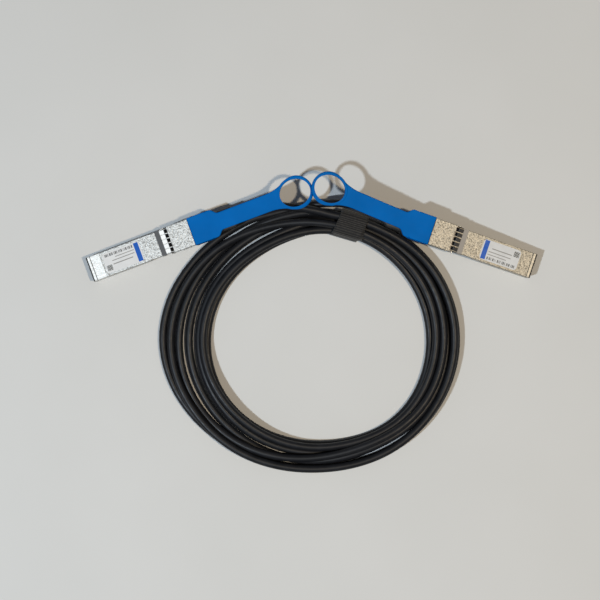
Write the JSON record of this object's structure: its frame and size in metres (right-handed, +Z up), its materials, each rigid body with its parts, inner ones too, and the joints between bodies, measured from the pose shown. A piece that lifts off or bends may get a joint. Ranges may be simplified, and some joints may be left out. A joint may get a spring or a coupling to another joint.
{
  "type": "direct attach copper cable",
  "caption": "Direct attach copper cable: two metal pluggable modules with blue pull tabs, joined by a thin black twinax cable wound in a flat coil and held by a woven strap.",
  "frame": {"origin": "on the table, under the centre of the box round the two plugs; the coil and the cable's leads aren't counted", "axes": "+X from the left plug's tip to the right plug's tip, +Y away from the coil, towards the tabs' rings, +Z up from the table"},
  "size_m": [0.243, 0.1609, 0.0249],
  "materials": {
    "die_cast_zinc": "nickel-plated zinc die casting, fine orange-peel texture",
    "circuit_board": "green solder mask",
    "gold_plating": "gold plating",
    "chip_moulding": "matt epoxy",
    "capacitor_ceramic": "fired ceramic with tinned ends",
    "spring_steel": "bright nickel-plated spring steel",
    "slider_steel": "plain stainless steel",
    "spring_wire": "bright wire",
    "screw_steel": "zinc-plated steel",
    "label_film": "white film label with one blue band and plain grey fields, nothing to read",
    "boot_rubber": "satin black moulding",
    "ferrule_brass": "plain brass",
    "pair_foil": "foil-wrapped pairs",
    "tab_plastic": "satin blue moulding",
    "cable_jacket": "satin black PVC jacket",
    "strap_fabric": "black woven hook-and-loop strap"
  },
  "bodies": {
    "root": {"left_lower_shell": "die_cast_zinc", "left_upper_shell": "die_cast_zinc", "left_paddle_card": "circuit_board", "left_contact_fingers": "gold_plating", "left_memory_chip": "chip_moulding", "left_coupling_capacitors": "capacitor_ceramic", "left_spring_collar": "spring_steel", "left_return_springs": "spring_wire", "left_shell_screw": "screw_steel", "left_label": "label_film", "left_strain_relief": "boot_rubber", "left_crimp_ferrule": "ferrule_brass", "left_signal_pairs": "pair_foil", "left_cable_lead": "cable_jacket", "right_lower_shell": "die_cast_zinc", "right_upper_shell": "die_cast_zinc", "right_paddle_card": "circuit_board", "right_contact_fingers": "gold_plating", "right_memory_chip": "chip_moulding", "right_coupling_capacitors": "capacitor_ceramic", "right_spring_collar": "spring_steel", "right_return_springs": "spring_wire", "right_shell_screw": "screw_steel", "right_label": "label_film", "right_strain_relief": "boot_rubber", "right_crimp_ferrule": "ferrule_brass", "right_signal_pairs": "pair_foil", "right_cable_lead": "cable_jacket", "cable_coil": "cable_jacket", "bundle_strap": "strap_fabric"},
    "left_release": {"left_release_slider": "slider_steel", "left_pull_tab": "tab_plastic"},
    "right_release": {"right_release_slider": "slider_steel", "right_pull_tab": "tab_plastic"}
  },
  "joints": [
    {"name": "left_release_slide", "type": "slide", "parent": "root", "child": "left_release", "axis": [0.9352, 0.3422, 0.0906], "range_m": [0, 0.0025], "stiffness_N_per_m": 800, "springref_m": -0.001, "deforming": ["left_return_springs"]},
    {"name": "right_release_slide", "type": "slide", "parent": "root", "child": "right_release", "axis": [-0.9411, 0.3167, 0.1184], "range_m": [0, 0.0025], "stiffness_N_per_m": 800, "springref_m": -0.001, "deforming": ["right_return_springs"]}
  ]
}
